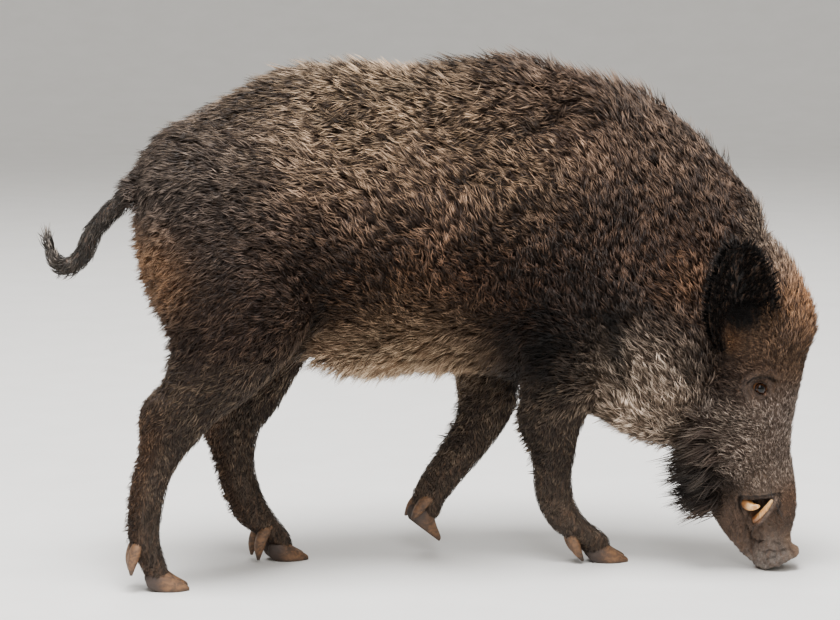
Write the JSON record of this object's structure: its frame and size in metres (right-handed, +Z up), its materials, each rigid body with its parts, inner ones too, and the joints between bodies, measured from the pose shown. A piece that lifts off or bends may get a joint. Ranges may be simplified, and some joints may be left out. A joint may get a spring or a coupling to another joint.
{
  "type": "wild boar",
  "caption": "Life-size still model of an adult male wild boar walking with its snout to the ground, mane raised, one forefoot lifted.",
  "frame": {"origin": "centre of the bounding box in plan, on the ground the boar stands on", "axes": "+X towards the head, +Y to the animal's left, +Z up"},
  "size_m": [1.1682, 0.448, 0.7997],
  "materials": {
    "coat": "coarse grizzled bristle coat, dark brown with tan tips",
    "face_fur": "short lying bristles, grizzled brown",
    "leg_fur": "short black-brown hair",
    "ear_fur": "dense black hair",
    "bare_skin": "bare damp grey-brown snout skin",
    "horn": "worn tan-brown horn",
    "ivory": "yellowed ivory, polished by wear",
    "eye": "wet dark brown eye"
  },
  "bodies": {
    "root": {"hoof_hind_right_right": "horn", "dewclaw_hind_right_right": "horn", "hoof_hind_right_left": "horn", "dewclaw_hind_right_left": "horn", "hoof_hind_left_right": "horn", "dewclaw_hind_left_right": "horn", "hoof_hind_left_left": "horn", "dewclaw_hind_left_left": "horn", "hoof_fore_right_right": "horn", "dewclaw_fore_right_right": "horn", "hoof_fore_right_left": "horn", "dewclaw_fore_right_left": "horn", "hoof_fore_left_right": "horn", "dewclaw_fore_left_right": "horn", "hoof_fore_left_left": "horn", "dewclaw_fore_left_left": "horn", "eye_right": "eye", "tusk_lower_right": "ivory", "tusk_upper_right": "ivory", "eye_left": "eye", "tusk_lower_left": "ivory", "tusk_upper_left": "ivory", "lower_jaw": "face_fur", "ear_right": "ear_fur", "ear_left": "ear_fur", "leg_hind_right_upper": "leg_fur", "leg_hind_right_lower": "leg_fur", "leg_hind_left_upper": "leg_fur", "leg_hind_left_lower": "leg_fur", "leg_fore_right_upper": "leg_fur", "leg_fore_right_lower": "leg_fur", "leg_fore_left_upper": "leg_fur", "leg_fore_left_lower": "leg_fur", "tail_root": "coat", "tail_tip": "coat", "torso_rear": "coat", "torso_middle": "coat", "torso_front": "coat", "neck": "coat", "head": "face_fur", "snout": "bare_skin"}
  },
  "joints": []
}
